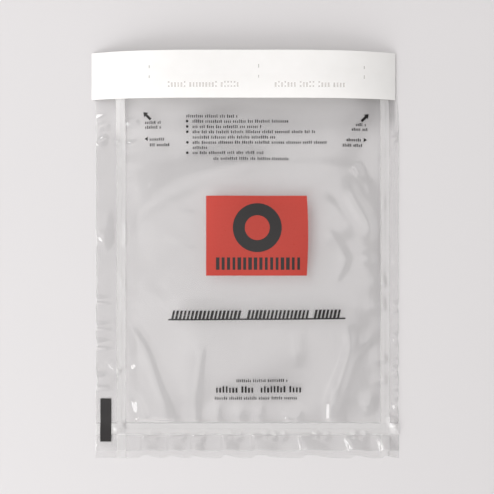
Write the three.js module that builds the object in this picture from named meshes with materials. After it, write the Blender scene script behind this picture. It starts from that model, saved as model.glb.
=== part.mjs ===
// A leakproof specimen transport bag of clear polythene film, empty and lying on a level surface
// with its front up. A front and a back web of film are heat sealed to each other down both sides
// and across the bottom, and loose film is left outside the seals. The back web is longer and
// stands past the mouth as a lip. One band of adhesive lies on the lip and one on the front web,
// on either side of the mouth, and one white release liner covers both. To close the bag the liner
// is peeled off and the lip is folded over at the mouth, adhesive to adhesive.
// The stiff liner bows, so the mouth stands off the surface between its two ends, and a little air
// inside holds the front web off the back one.
// Frame: X across the bag, Y from the bottom hem to the lip, Z up, origin in the middle of the
// outline at the surface that the bag lies on.
import * as THREE from "three";

// Driving dimensions, in millimetres.
const FILM_WIDTH = 228.6; // both webs, as cut
const BAG_LENGTH = 304.8; // from the back web's hem to the top edge of the lip
const FILM = 0.1; // thickness of one web
const HEM_STEP = 5.5; // the front web's hem stops this far above the back one's

const LEFT_FLANGE = 16; // loose film outside the left seal
const RIGHT_FLANGE = 7; // and outside the right seal
const SKIRT = 18; // loose film below the bottom seal, on the back web
const SIDE_SEAL = 6.8; // width of a side seal
const BOTTOM_SEAL = 8.6; // width of the bottom seal

const LINER_LENGTH = 228.6; // across the bag
const LINER_WIDTH = 35; // along the bag, folded in half at the mouth
const LINER = 0.12; // thickness of the paper
const LINER_SHIFT = 2.8; // the liner lies this far to the left of the film
const ADHESIVE = 0.13; // thickness of a band of adhesive
const ADHESIVE_MARGIN = 1.5; // bare film between a band and the edges of liner and film
const MOUTH_MARGIN = 0.8; // bare film between a band and the mouth

const BOW = 13; // how far the middle of the mouth stands off the surface
const BACK_RUN = 60; // the back web comes down from the mouth over this length
const AIR_GAP = 7; // the most height between the two webs
const AIR_SWELL = 3; // how square that swell is: 2 is a round hill, 4 has a flatter top
const WAVE = 2.2; // height of the waves along the front web's free edges
const WAVE_PITCH = 32; // length of one wave
const WAVE_PULL = 0.7; // how far a crest draws the free edge in
const SEAT = 0.3; // running clearance between pieces that lie on each other

// Places that follow from those.
const FILM_X = LINER_SHIFT / 2; // the middle of the film
const LINER_X = -LINER_SHIFT / 2; // the middle of the liner
const LEFT = FILM_X - FILM_WIDTH / 2;
const RIGHT = FILM_X + FILM_WIDTH / 2;
const POUCH_LEFT = LEFT + LEFT_FLANGE + SIDE_SEAL;
const POUCH_RIGHT = RIGHT - RIGHT_FLANGE - SIDE_SEAL;
const TOP = BAG_LENGTH / 2;
const HEM = -BAG_LENGTH / 2;
const MOUTH = TOP - LINER_WIDTH / 2;
const LINER_LOW = MOUTH - LINER_WIDTH / 2;
const LINER_LEFT = LINER_X - LINER_LENGTH / 2;
const LINER_RIGHT = LINER_X + LINER_LENGTH / 2;
const BAND_LEFT = Math.max(LEFT, LINER_LEFT) + ADHESIVE_MARGIN;
const BAND_RIGHT = Math.min(RIGHT, LINER_RIGHT) - ADHESIVE_MARGIN;
const BACK_FOOT = MOUTH - BACK_RUN;
const SKIRT_TOP = HEM + SKIRT;
const POUCH_BOTTOM = SKIRT_TOP + BOTTOM_SEAL;

// How finely the sheets are divided, in millimetres a step.
const ACROSS_STEP = 11;
const FLANGE_STEP = 5.5;
const ALONG_STEP = 8;
const SKIRT_STEP = 5;
const LINER_STEP = 6;
const FLAT_STEP = 30; // where a sheet is flat

// From 0 to 1, level at both ends.
const ease = (t) => THREE.MathUtils.smoothstep(t, 0, 1);

// 1 over the middle of a span from low to high, rounded down to 0 at its two ends and past them.
function crown(at, low, high, power = 4) {
  const offset = Math.min(1, Math.abs((2 * at - low - high) / (high - low)));
  return 1 - offset ** power;
}

// Height of the back web's underside: flat on the surface, and bowed up with the liner at the top.
function bowLift(x, y) {
  return BOW * crown(x, LINER_LEFT, LINER_RIGHT) * ease((y - BACK_FOOT) / BACK_RUN);
}

// The lip rises level with the front web where that ends, so that the liner lies flat over both.
function backUnder(x, y) {
  return bowLift(x, y) + (FILM + SEAT) * ease((2 * (y - MOUTH)) / LINER_WIDTH);
}

// Height of the waves along the free edges of the front web: none at the seals and at the mouth.
function edgeWave(x, y) {
  const outLeft = (LEFT + LEFT_FLANGE - x) / LEFT_FLANGE;
  const outRight = (x - RIGHT + RIGHT_FLANGE) / RIGHT_FLANGE;
  const outBottom = (SKIRT_TOP - y) / SKIRT;
  const side = Math.max(outLeft, outRight, 0) * crown(y, HEM, LINER_LOW);
  const low = Math.max(outBottom, 0) * crown(x, LEFT, RIGHT);
  const upright = 0.5 - 0.5 * Math.cos((2 * Math.PI * y) / WAVE_PITCH);
  const level = 0.5 - 0.5 * Math.cos((2 * Math.PI * x) / WAVE_PITCH);
  return WAVE * (side * upright + low * level);
}

// Height of the front web's underside: on the back web at the seals, off it over the air inside.
function frontUnder(x, y) {
  const across = crown(x, POUCH_LEFT, POUCH_RIGHT, AIR_SWELL);
  const along = crown(y, POUCH_BOTTOM, LINER_LOW, AIR_SWELL);
  return bowLift(x, y) + FILM + SEAT + AIR_GAP * across * along + edgeWave(x, y);
}

// Heights of what lies on the two webs at the mouth.
const lowerBandUnder = (x, y) => frontUnder(x, y) + FILM + SEAT;
const upperBandUnder = (x, y) => backUnder(x, y) + FILM + SEAT;
const linerUnder = (x, y) => bowLift(x, y) + 2 * (FILM + SEAT) + ADHESIVE + SEAT;

// The places that divide a sheet: every mark in order, and steps between them.
function stations(marks, stepBetween) {
  const sorted = [...marks].sort((a, b) => a - b);
  const places = [sorted[0]];
  for (const mark of sorted.slice(1)) {
    const start = places[places.length - 1];
    if (mark - start < SEAT / 2) continue;
    const count = Math.max(1, Math.round((mark - start) / stepBetween(start, mark)));
    for (let k = 1; k <= count; k++) places.push(start + ((mark - start) * k) / count);
  }
  return places;
}

// Those of the places that lie from low to high.
const within = (places, low, high) => places.filter((p) => p > low - SEAT / 2 && p < high + SEAT / 2);

// Sheets that lie on each other are divided at the same places, so that they keep their clearance.
const COLUMNS = stations(
  [
    ...[LEFT, LEFT + LEFT_FLANGE, POUCH_LEFT, POUCH_RIGHT, RIGHT - RIGHT_FLANGE, RIGHT],
    ...[LINER_LEFT, BAND_LEFT, BAND_RIGHT, LINER_RIGHT],
  ],
  (start, end) => (end <= POUCH_LEFT || start >= POUCH_RIGHT ? FLANGE_STEP : ACROSS_STEP),
);
const BAND_ROWS = [LINER_LOW + ADHESIVE_MARGIN, MOUTH - MOUTH_MARGIN];
const LIP_BAND_ROWS = [MOUTH + MOUTH_MARGIN, TOP - ADHESIVE_MARGIN];
const LINER_ROWS = stations(
  [LINER_LOW, ...BAND_ROWS, MOUTH, ...LIP_BAND_ROWS, TOP],
  () => LINER_STEP,
);
const FRONT_ROWS = [
  ...stations([HEM + HEM_STEP, SKIRT_TOP, POUCH_BOTTOM], () => SKIRT_STEP),
  ...stations([POUCH_BOTTOM, BACK_FOOT, LINER_LOW], () => ALONG_STEP).slice(1),
  ...within(LINER_ROWS, LINER_LOW, MOUTH).slice(1),
];
const BACK_ROWS = [
  ...stations([HEM, SKIRT_TOP, POUCH_BOTTOM, BACK_FOOT], () => FLAT_STEP),
  ...stations([BACK_FOOT, LINER_LOW], () => ALONG_STEP).slice(1),
  ...LINER_ROWS.slice(1),
];

// A thin closed sheet over a grid of columns and rows. under gives the height of its underside, and
// pull moves a point in the plane of the sheet before its height is taken.
function sheet(name, material, xs, ys, thickness, under, pull = (x, y) => [x, y]) {
  const corners = [];
  for (const rise of [0, thickness]) {
    for (const row of ys) {
      for (const column of xs) {
        const [x, y] = pull(column, row);
        corners.push(x, y, under(x, y) + rise);
      }
    }
  }
  const at = (level, row, column) => (level * ys.length + row) * xs.length + column;
  const faces = [];
  const quad = (a, b, c, d) => faces.push(a, b, c, a, c, d);
  const endRow = ys.length - 1;
  const endColumn = xs.length - 1;
  for (let r = 0; r < endRow; r++) {
    for (let c = 0; c < endColumn; c++) {
      quad(at(1, r, c), at(1, r, c + 1), at(1, r + 1, c + 1), at(1, r + 1, c));
      quad(at(0, r, c), at(0, r + 1, c), at(0, r + 1, c + 1), at(0, r, c + 1));
    }
  }
  for (let c = 0; c < endColumn; c++) {
    quad(at(0, 0, c), at(0, 0, c + 1), at(1, 0, c + 1), at(1, 0, c));
    quad(at(1, endRow, c), at(1, endRow, c + 1), at(0, endRow, c + 1), at(0, endRow, c));
  }
  for (let r = 0; r < endRow; r++) {
    quad(at(1, r, 0), at(1, r + 1, 0), at(0, r + 1, 0), at(0, r, 0));
    quad(at(0, r, endColumn), at(0, r + 1, endColumn), at(1, r + 1, endColumn), at(1, r, endColumn));
  }
  const geometry = new THREE.BufferGeometry();
  geometry.setAttribute("position", new THREE.Float32BufferAttribute(corners, 3));
  geometry.setIndex(faces);
  geometry.computeVertexNormals();
  const mesh = new THREE.Mesh(geometry, material);
  mesh.name = name;
  return mesh;
}

// A crest of the edge waves takes up film, so the free edge is drawn in there.
function drawnIn(x, y) {
  const share = edgeWave(x, y) / WAVE;
  const sideways = x < LEFT + LEFT_FLANGE ? 1 : x > RIGHT - RIGHT_FLANGE ? -1 : 0;
  const upwards = y < SKIRT_TOP ? 1 : 0;
  return [x + sideways * WAVE_PULL * share, y + upwards * WAVE_PULL * share];
}

const clearFilm = new THREE.MeshStandardMaterial({
  color: 0xd9dcde,
  roughness: 0.18,
  metalness: 0,
  transparent: true,
  opacity: 0.35,
});
const adhesive = new THREE.MeshStandardMaterial({ color: 0xe6e2d3, roughness: 0.4 });
const linerPaper = new THREE.MeshStandardMaterial({ color: 0xf7f7f5, roughness: 0.55 });

// A band of adhesive over the given rows, just short of the ends of the liner and of the film.
function adhesiveBand(name, [low, high], under) {
  const columns = within(COLUMNS, BAND_LEFT, BAND_RIGHT);
  return sheet(name, adhesive, columns, within(LINER_ROWS, low, high), ADHESIVE, under);
}

const filmColumns = within(COLUMNS, LEFT, RIGHT);
const linerColumns = within(COLUMNS, LINER_LEFT, LINER_RIGHT);

const bag = new THREE.Group();
bag.add(
  sheet("back_panel", clearFilm, filmColumns, BACK_ROWS, FILM, backUnder),
  sheet("front_panel", clearFilm, filmColumns, FRONT_ROWS, FILM, frontUnder, drawnIn),
  adhesiveBand("lower_adhesive_band", BAND_ROWS, lowerBandUnder),
  adhesiveBand("upper_adhesive_band", LIP_BAND_ROWS, upperBandUnder),
  sheet("release_liner", linerPaper, linerColumns, LINER_ROWS, LINER, linerUnder),
);
export default bag;
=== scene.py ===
"""Looks of a leakproof specimen transport bag that lies flat on a pale table, seen from above.

The bag is clear polythene film: a front and a back web, welded down both sides and across the bottom,
with loose film outside the welds. A white release liner covers the adhesive on both sides of the mouth.
Every length is in metres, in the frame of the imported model.
"""

import logging
import math
from dataclasses import dataclass, field
from enum import Enum
from functools import cache
from typing import Callable, Sequence

import bpy
import numpy as np
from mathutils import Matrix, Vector

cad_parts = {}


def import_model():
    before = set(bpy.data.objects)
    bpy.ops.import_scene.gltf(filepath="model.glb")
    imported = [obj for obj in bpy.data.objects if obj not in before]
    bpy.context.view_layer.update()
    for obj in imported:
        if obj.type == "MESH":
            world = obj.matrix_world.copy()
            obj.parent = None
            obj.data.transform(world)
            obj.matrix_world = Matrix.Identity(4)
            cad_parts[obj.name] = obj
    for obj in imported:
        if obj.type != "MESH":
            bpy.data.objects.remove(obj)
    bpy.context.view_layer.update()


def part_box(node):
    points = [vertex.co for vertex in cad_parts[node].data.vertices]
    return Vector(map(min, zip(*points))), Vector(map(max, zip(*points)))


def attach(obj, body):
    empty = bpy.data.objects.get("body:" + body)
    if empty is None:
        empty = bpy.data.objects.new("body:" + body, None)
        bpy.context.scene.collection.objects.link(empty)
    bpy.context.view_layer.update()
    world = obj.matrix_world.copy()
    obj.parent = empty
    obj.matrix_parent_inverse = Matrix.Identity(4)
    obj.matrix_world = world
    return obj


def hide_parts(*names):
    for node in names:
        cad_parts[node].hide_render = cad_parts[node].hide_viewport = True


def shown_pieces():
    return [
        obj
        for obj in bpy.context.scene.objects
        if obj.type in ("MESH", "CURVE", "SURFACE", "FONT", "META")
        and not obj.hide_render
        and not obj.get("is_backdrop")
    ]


LOG = logging.getLogger("bag")
MM = 0.001
SHARP_ANGLE = math.radians(50)
CLEAR_LAYERS = 32  # faces that light may pass: both webs, the ribs and the print, in and out again

Points = Sequence[tuple[float, float]]
Heights = Callable[[np.ndarray, np.ndarray], np.ndarray]


# Small helpers.


def linear(hex_code: str) -> tuple[float, float, float, float]:
    """Turns an sRGB hex colour into linear light.

    Args:
        hex_code: Six hex digits after a hash.

    Returns:
        Red, green, blue and an alpha of 1.
    """
    parts = [int(hex_code[i : i + 2], 16) / 255 for i in (1, 3, 5)]
    rgb = [c / 12.92 if c <= 0.04045 else ((c + 0.055) / 1.055) ** 2.4 for c in parts]
    return rgb[0], rgb[1], rgb[2], 1.0


def add_node(tree: bpy.types.NodeTree, kind: str, inputs: dict | None = None, **settings) -> bpy.types.Node:
    """Adds a node, sets what it is given, and links what it is given to link.

    Args:
        tree: The node tree.
        kind: The node's type name.
        inputs: Input name or number to a value, or to an output socket of another node.
        **settings: Attributes of the node.

    Returns:
        The node.
    """
    node = tree.nodes.new(kind)
    for name, value in settings.items():
        setattr(node, name, value)
    for name, value in (inputs or {}).items():
        socket = node.inputs[name]
        if isinstance(value, bpy.types.NodeSocket):
            tree.links.new(value, socket)
        else:
            socket.default_value = value
    return node


def smooth(t: np.ndarray) -> np.ndarray:
    """Runs from 0 to 1, level at both ends."""
    t = np.clip(t, 0, 1)
    return t * t * (3 - 2 * t)


def smoother(t: np.ndarray) -> np.ndarray:
    """Runs from 0 to 1, level and unbent at both ends."""
    t = np.clip(t, 0, 1)
    return t**3 * (t * (6 * t - 15) + 10)


def crown(at: np.ndarray, low: float, high: float, power: float = 4) -> np.ndarray:
    """Is 1 over the middle of a span from low to high, and 0 at its ends and past them."""
    return 1 - np.clip(np.abs((2 * at - low - high) / (high - low)), 0, 1) ** power


def band(at: np.ndarray, low: float, high: float, blur: float) -> np.ndarray:
    """Is 1 from low to high and 0 outside, with soft ends."""
    return smooth((at - low) / blur + 0.5) * smooth((high - at) / blur + 0.5)


def stations(marks: Sequence[float], step: float) -> np.ndarray:
    """Divides the way from the first mark to the last, with a place at every mark.

    Args:
        marks: Places that are kept, in order.
        step: About how far apart the other places are.

    Returns:
        The places.
    """
    places = [marks[0]]
    for start, end in zip(marks, marks[1:]):
        count = max(1, round((end - start) / step))
        places += [start + (end - start) * k / count for k in range(1, count + 1)]
    return np.array(places)


# The photograph's frame.


@dataclass(frozen=True)
class PhotoFrame:
    """Where a pixel of the 494 pixel wide view lies on the bag, for a camera that looks straight down.

    Its distance is what the bowed liner's shift in the view calls for.
    """

    distance: float = 0.65
    pixel: float = 0.754 * MM
    across: float = 494
    middle: float = 247
    aim_x: float = 1.2 * MM
    aim_y: float = 6.8 * MM
    film_height: float = 8 * MM
    sensor: float = 36
    near: float = 0.05  # what is closer to the camera isn't drawn

    def scale(self, height: float | None = None) -> float:
        """Metres for a pixel at that height, or at the height of the front web."""
        height = self.film_height if height is None else height
        return self.pixel * (1 - height / self.distance)

    def x(self, px: float, height: float | None = None) -> float:
        """The place across the bag of a pixel's column."""
        return (px - self.middle) * self.scale(height) + self.aim_x

    def y(self, py: float, height: float | None = None) -> float:
        """The place along the bag of a pixel's row."""
        return (self.middle - py) * self.scale(height) + self.aim_y

    def at(self, px: float, py: float, height: float | None = None) -> tuple[float, float]:
        """The place on the bag of a pixel."""
        return self.x(px, height), self.y(py, height)

    def camera(self) -> bpy.types.Object:
        """Makes the scene's camera.

        Returns:
            The camera.
        """
        data = bpy.data.cameras.new("camera")
        data.sensor_width = self.sensor
        data.lens = self.sensor * self.distance / (self.across * self.pixel)
        data.clip_start = self.near
        camera = bpy.data.objects.new("camera", data)
        camera.location = (self.aim_x, self.aim_y, self.distance)
        bpy.context.scene.collection.objects.link(camera)
        bpy.context.scene.camera = camera
        return camera


VIEW = PhotoFrame()


# Finishes.


def new_material(name: str) -> tuple[bpy.types.Material, bpy.types.NodeTree]:
    """Makes an empty node material.

    Args:
        name: The material's name.

    Returns:
        The material and its tree.
    """
    material = bpy.data.materials.new(name)
    material.use_nodes = True
    tree = material.node_tree
    tree.nodes.clear()
    return material, tree


def pattern(
    tree: bpy.types.NodeTree, sizes: tuple[float, float, float], detail: float
) -> bpy.types.NodeSocket:
    """Soft uneven spots on Object coordinates.

    Args:
        tree: The node tree.
        sizes: About how long a spot is along each axis.
        detail: How many finer layers it has.

    Returns:
        The socket of its value, from 0 to 1.
    """
    place = add_node(tree, "ShaderNodeTexCoord").outputs["Object"]
    scale = tuple(1 / size for size in sizes)
    scaled = add_node(tree, "ShaderNodeMapping", {"Vector": place, "Scale": scale}).outputs["Vector"]
    noise = add_node(tree, "ShaderNodeTexNoise", {"Vector": scaled, "Scale": 1.0, "Detail": detail})
    return noise.outputs["Fac"]


@dataclass(frozen=True)
class ClearFilm:
    """Blown low-density polythene film, 0.1 mm thick.

    It is clear with a faint milkiness, mirrors by its index of refraction, and carries fine draw lines
    along the bag. Where it is welded it turns milky. A cut edge carries a painted highlight, a thin line of
    extra milkiness, and the lower edge of the bottom weld carries a broken one, partly the melt ridge's own
    milkiness and partly painted glint.
    """

    name: str = "blown_ldpe_film"
    tint: str = "#fdfdfd"
    haze_colour: str = "#efeeee"
    index: float = 1.51
    roughness: float = 0.07
    haze: float = 0.012
    weld_haze: float = 0.45
    # painted highlight: extra milkiness along cut edges and along the bottom weld's lower edge, standing in
    # for light those edges catch
    edge_highlight_haze: float = 0.15
    contact: float = 0.8  # share of the mirror that two webs lose where they touch
    draw_line: float = 5 * MM  # spacing of the draw lines
    draw_length: float = 120 * MM
    draw_height: float = 0.02 * MM
    mottle: float = 9 * MM  # size of the uneven spots in the milkiness

    def make(self) -> bpy.types.Material:
        """Builds the material: a mirror's share by the index, a little milkiness, and clear for the rest.

        Returns:
            The material.
        """
        material, tree = new_material(self.name)
        lines = pattern(tree, (self.draw_line, self.draw_length, 1), 2.0)
        normal = add_node(
            tree, "ShaderNodeBump", {"Height": lines, "Distance": self.draw_height, "Strength": 1.0}
        ).outputs["Normal"]
        spots = pattern(tree, (self.mottle,) * 3, 3.0)
        fresnel = add_node(tree, "ShaderNodeFresnel", {"IOR": self.index, "Normal": normal}).outputs[0]
        # Both faces of the web are mirrors, and the one that light leaves by is left out below.
        mirror = add_node(tree, "ShaderNodeMath", {0: fresnel, 1: 2.0}, operation="MULTIPLY").outputs[0]
        touch = add_node(tree, "ShaderNodeAttribute", attribute_name="touch").outputs["Fac"]
        apart = add_node(
            tree, "ShaderNodeMath", {0: touch, 1: -self.contact, 2: 1.0}, operation="MULTIPLY_ADD"
        ).outputs[0]
        mirror = add_node(tree, "ShaderNodeMath", {0: mirror, 1: apart}, operation="MULTIPLY").outputs[0]
        weld = add_node(tree, "ShaderNodeAttribute", attribute_name="weld").outputs["Fac"]
        # the edge mask carries painted highlight: a bright line along cut edges and a broken glint line
        # along the bottom weld's lower edge
        edge = add_node(tree, "ShaderNodeAttribute", attribute_name="edge").outputs["Fac"]
        milk = add_node(
            tree, "ShaderNodeMath", {0: spots, 1: 2 * self.haze}, operation="MULTIPLY"
        ).outputs[0]
        for mask, amount in ((weld, self.weld_haze), (edge, self.edge_highlight_haze)):
            milk = add_node(
                tree, "ShaderNodeMath", {0: mask, 1: amount, 2: milk}, operation="MULTIPLY_ADD"
            ).outputs[0]
        share = add_node(
            tree, "ShaderNodeMath", {0: mirror, 1: milk}, operation="ADD", use_clamp=True
        ).outputs[0]
        of_mirror = add_node(
            tree, "ShaderNodeMath", {0: mirror, 1: share}, operation="DIVIDE", use_clamp=True
        ).outputs[0]
        surface = add_node(
            tree,
            "ShaderNodeBsdfPrincipled",
            {
                "Base Color": linear(self.haze_colour),
                "Metallic": of_mirror,
                "Roughness": self.roughness,
                "IOR": self.index,
                "Normal": normal,
            },
        )
        inside = add_node(tree, "ShaderNodeNewGeometry").outputs["Backfacing"]
        outer = add_node(tree, "ShaderNodeMath", {0: 1.0, 1: inside}, operation="SUBTRACT").outputs[0]
        seen = add_node(tree, "ShaderNodeMath", {0: share, 1: outer}, operation="MULTIPLY").outputs[0]
        clear = add_node(tree, "ShaderNodeBsdfTransparent", {"Color": linear(self.tint)})
        mix = add_node(tree, "ShaderNodeMixShader", {0: seen, 1: clear.outputs[0], 2: surface.outputs[0]})
        add_node(tree, "ShaderNodeOutputMaterial", {"Surface": mix.outputs[0]})
        return material


@dataclass(frozen=True)
class Ink:
    """Flexographic ink on film: even, dull beside the film, and thin enough to let some light by."""

    name: str
    colour: str
    cover: float = 1.0
    roughness: float = 0.35
    uneven: float = 0.06
    blot: float = 1.6 * MM  # size of the ink's uneven spots

    def make(self) -> bpy.types.Material:
        """Builds the material.

        Returns:
            The material.
        """
        material, tree = new_material(self.name)
        spots = pattern(tree, (self.blot,) * 3, 4.0)
        cover = add_node(
            tree,
            "ShaderNodeMapRange",
            {"Value": spots, "To Min": self.cover * (1 - self.uneven), "To Max": self.cover},
        ).outputs[0]
        rough = add_node(
            tree,
            "ShaderNodeMapRange",
            {"Value": spots, "To Min": self.roughness * 0.8, "To Max": self.roughness * 1.2},
        ).outputs[0]
        surface = add_node(
            tree,
            "ShaderNodeBsdfPrincipled",
            {"Base Color": linear(self.colour), "Roughness": rough, "IOR": 1.5},
        )
        clear = add_node(tree, "ShaderNodeBsdfTransparent", {"Color": linear(self.colour)})
        mix = add_node(tree, "ShaderNodeMixShader", {0: cover, 1: clear.outputs[0], 2: surface.outputs[0]})
        add_node(tree, "ShaderNodeOutputMaterial", {"Surface": mix.outputs[0]})
        return material


@dataclass(frozen=True)
class LinerPaper:
    """Silicone-coated bleached kraft paper: white, smooth and slightly glossy, with a faint formation."""

    name: str = "silicone_coated_paper"
    colour: str = "#f8f7f6"
    shade: str = "#f1f0ee"
    roughness: float = 0.5
    fibre: float = 0.6 * MM  # spacing of the fibres, drawn coarse enough to show
    fibre_height: float = 0.01 * MM
    cloud: float = 11 * MM  # size of the clouds in the sheet

    def make(self) -> bpy.types.Material:
        """Builds the material.

        Returns:
            The material.
        """
        material, tree = new_material(self.name)
        clouds = pattern(tree, (self.cloud,) * 3, 5.0)
        fibres = pattern(tree, (2.5 * self.fibre, self.fibre, self.fibre), 3.0)
        colour = add_node(
            tree,
            "ShaderNodeMix",
            {"Factor": clouds, 6: linear(self.shade), 7: linear(self.colour)},
            data_type="RGBA",
        ).outputs[2]
        normal = add_node(
            tree, "ShaderNodeBump", {"Height": fibres, "Distance": self.fibre_height, "Strength": 1.0}
        ).outputs["Normal"]
        rough = add_node(
            tree,
            "ShaderNodeMapRange",
            {"Value": clouds, "To Min": self.roughness - 0.06, "To Max": self.roughness + 0.06},
        ).outputs[0]
        surface = add_node(
            tree,
            "ShaderNodeBsdfPrincipled",
            {"Base Color": colour, "Roughness": rough, "IOR": 1.48, "Normal": normal},
        )
        add_node(tree, "ShaderNodeOutputMaterial", {"Surface": surface.outputs[0]})
        return material


@dataclass(frozen=True)
class TableTop:
    """A matt, near-white laminate that carries the bag and its shadow."""

    name: str = "matt_white_laminate"
    colour: str = "#dddbdc"
    roughness: float = 0.8
    grain: float = 2 * MM

    def make(self) -> bpy.types.Material:
        """Builds the material.

        Returns:
            The material.
        """
        material, tree = new_material(self.name)
        grain = pattern(tree, (self.grain,) * 3, 2.0)
        rough = add_node(
            tree,
            "ShaderNodeMapRange",
            {"Value": grain, "To Min": self.roughness - 0.05, "To Max": self.roughness + 0.05},
        ).outputs[0]
        surface = add_node(
            tree, "ShaderNodeBsdfPrincipled", {"Base Color": linear(self.colour), "Roughness": rough}
        )
        add_node(tree, "ShaderNodeOutputMaterial", {"Surface": surface.outputs[0]})
        return material


# Meshes.


def new_object(name: str, mesh: bpy.types.Mesh, material: bpy.types.Material) -> bpy.types.Object:
    """Makes an object of a mesh and links it to the scene.

    Args:
        name: The object's name.
        mesh: Its mesh.
        material: Its only material.

    Returns:
        The object.
    """
    mesh.materials.clear()
    mesh.materials.append(material)
    thing = bpy.data.objects.new(name, mesh)
    bpy.context.scene.collection.objects.link(thing)
    return thing


def shell(
    name: str,
    across: np.ndarray,
    along: np.ndarray,
    under: np.ndarray,
    thickness: float,
    material: bpy.types.Material,
    masks: dict[str, np.ndarray] | None = None,
    ring: bool = False,
) -> bpy.types.Object:
    """Makes a thin closed sheet over a grid of points.

    Args:
        name: The object's name.
        across: Place across the bag of each point, by row and column.
        along: Place along the bag of each point.
        under: Height of the underside at each point.
        thickness: The sheet's thickness.
        material: Its material.
        masks: Name to a value from 0 to 1 for each point.
        ring: Whether the last column joins the first.

    Returns:
        The object.
    """
    rows, columns = across.shape
    count = rows * columns
    top = np.stack([across, along, under + thickness], -1).reshape(-1, 3)
    low = np.stack([across, along, under], -1).reshape(-1, 3)
    index = np.arange(count).reshape(rows, columns)
    if ring:
        index = np.concatenate([index, index[:, :1]], 1)
    a, b = index[:-1, :-1].ravel(), index[:-1, 1:].ravel()
    c, d = index[1:, 1:].ravel(), index[1:, :-1].ravel()
    faces = [np.stack([a, b, c, d], -1), np.stack([a, d, c, b], -1) + count]
    rims = [index[0], index[-1][::-1]]
    if not ring:
        rims += [index[:, -1], index[:, 0][::-1]]
    for rim in rims:
        start, end = rim[:-1], rim[1:]
        faces.append(np.stack([start + count, end + count, end, start], -1))
    quads = np.concatenate(faces).astype(np.int32)
    mesh = bpy.data.meshes.new(name)
    mesh.vertices.add(2 * count)
    mesh.vertices.foreach_set("co", np.concatenate([top, low]).astype(np.float32).ravel())
    mesh.loops.add(quads.size)
    mesh.loops.foreach_set("vertex_index", quads.ravel())
    mesh.polygons.add(len(quads))
    mesh.polygons.foreach_set("loop_start", np.arange(0, quads.size, 4, dtype=np.int32))
    mesh.polygons.foreach_set("use_smooth", np.ones(len(quads), bool))
    mesh.update(calc_edges=True)
    mesh.set_sharp_from_angle(angle=SHARP_ANGLE)
    for mask, values in (masks or {}).items():
        attribute = mesh.attributes.new(mask, "FLOAT", "POINT")
        attribute.data.foreach_set("value", np.tile(values.ravel(), 2).astype(np.float32))
    return new_object(name, mesh, material)


# The shape of the film.


class Steep(Enum):
    """The side of a crease's path that falls off steeply, as one goes along the path."""

    LEFT = 1
    RIGHT = -1


@dataclass(frozen=True)
class Crease:
    """A soft fold in the front web: a crest along a path, gentle on one side and steep on the other."""

    path: Points  # pixels
    width: float  # pixels, of the steep side
    steep: Steep = Steep.RIGHT
    slope: float = 0.21  # the most, on the steep side
    gentle: float = 2.5  # how many times wider the other side is
    start: float = 0.2  # share of the length over which it rises
    end: float = 0.2  # and falls
    held: bool = True  # whether the welds hold it down

    def raised(self, x: np.ndarray, y: np.ndarray) -> np.ndarray:
        """The height that it adds.

        Args:
            x: Places across the bag.
            y: Places along it.

        Returns:
            A height for each place.
        """
        line = np.array([VIEW.at(*p) for p in self.path])
        lengths = np.hypot(*np.diff(line, axis=0).T)
        total = lengths.sum()
        width = self.width * VIEW.scale()
        best = np.full(x.shape, np.inf)
        side = np.ones(x.shape)
        run = np.zeros(x.shape)
        passed = 0.0
        for (ax, ay), (bx, by), length in zip(line, line[1:], lengths):
            ux, uy = (bx - ax) / length, (by - ay) / length
            t = np.clip((x - ax) * ux + (y - ay) * uy, 0, length)
            dx, dy = x - ax - t * ux, y - ay - t * uy
            distance = np.hypot(dx, dy)
            near = distance < best
            best = np.where(near, distance, best)
            side = np.where(near, np.sign(ux * dy - uy * dx), side)
            run = np.where(near, (passed + t) / total, run)
            passed += length
        reach = np.where(side * self.steep.value > 0, width, width * self.gentle)
        fade = smooth(run / self.start) * smooth((1 - run) / self.end)
        height = self.slope * width / GAUSS_SLOPE
        return height * fade * np.exp(-((best / reach) ** 2))


@dataclass(frozen=True)
class Ruffle:
    """A wave in the loose film outside a weld: its middle and half length in pixels, its height in mm."""

    middle: float
    half: float
    height: float
    square: int = 2  # 2 is a round wave, 4 or more a flat-topped one

    def share(self, y: np.ndarray) -> np.ndarray:
        """The wave's height along the edge."""
        away = (y - VIEW.y(self.middle, 0.0)) / (self.half * VIEW.scale(0))
        return self.height * MM * np.exp(-(away**self.square))


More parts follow.
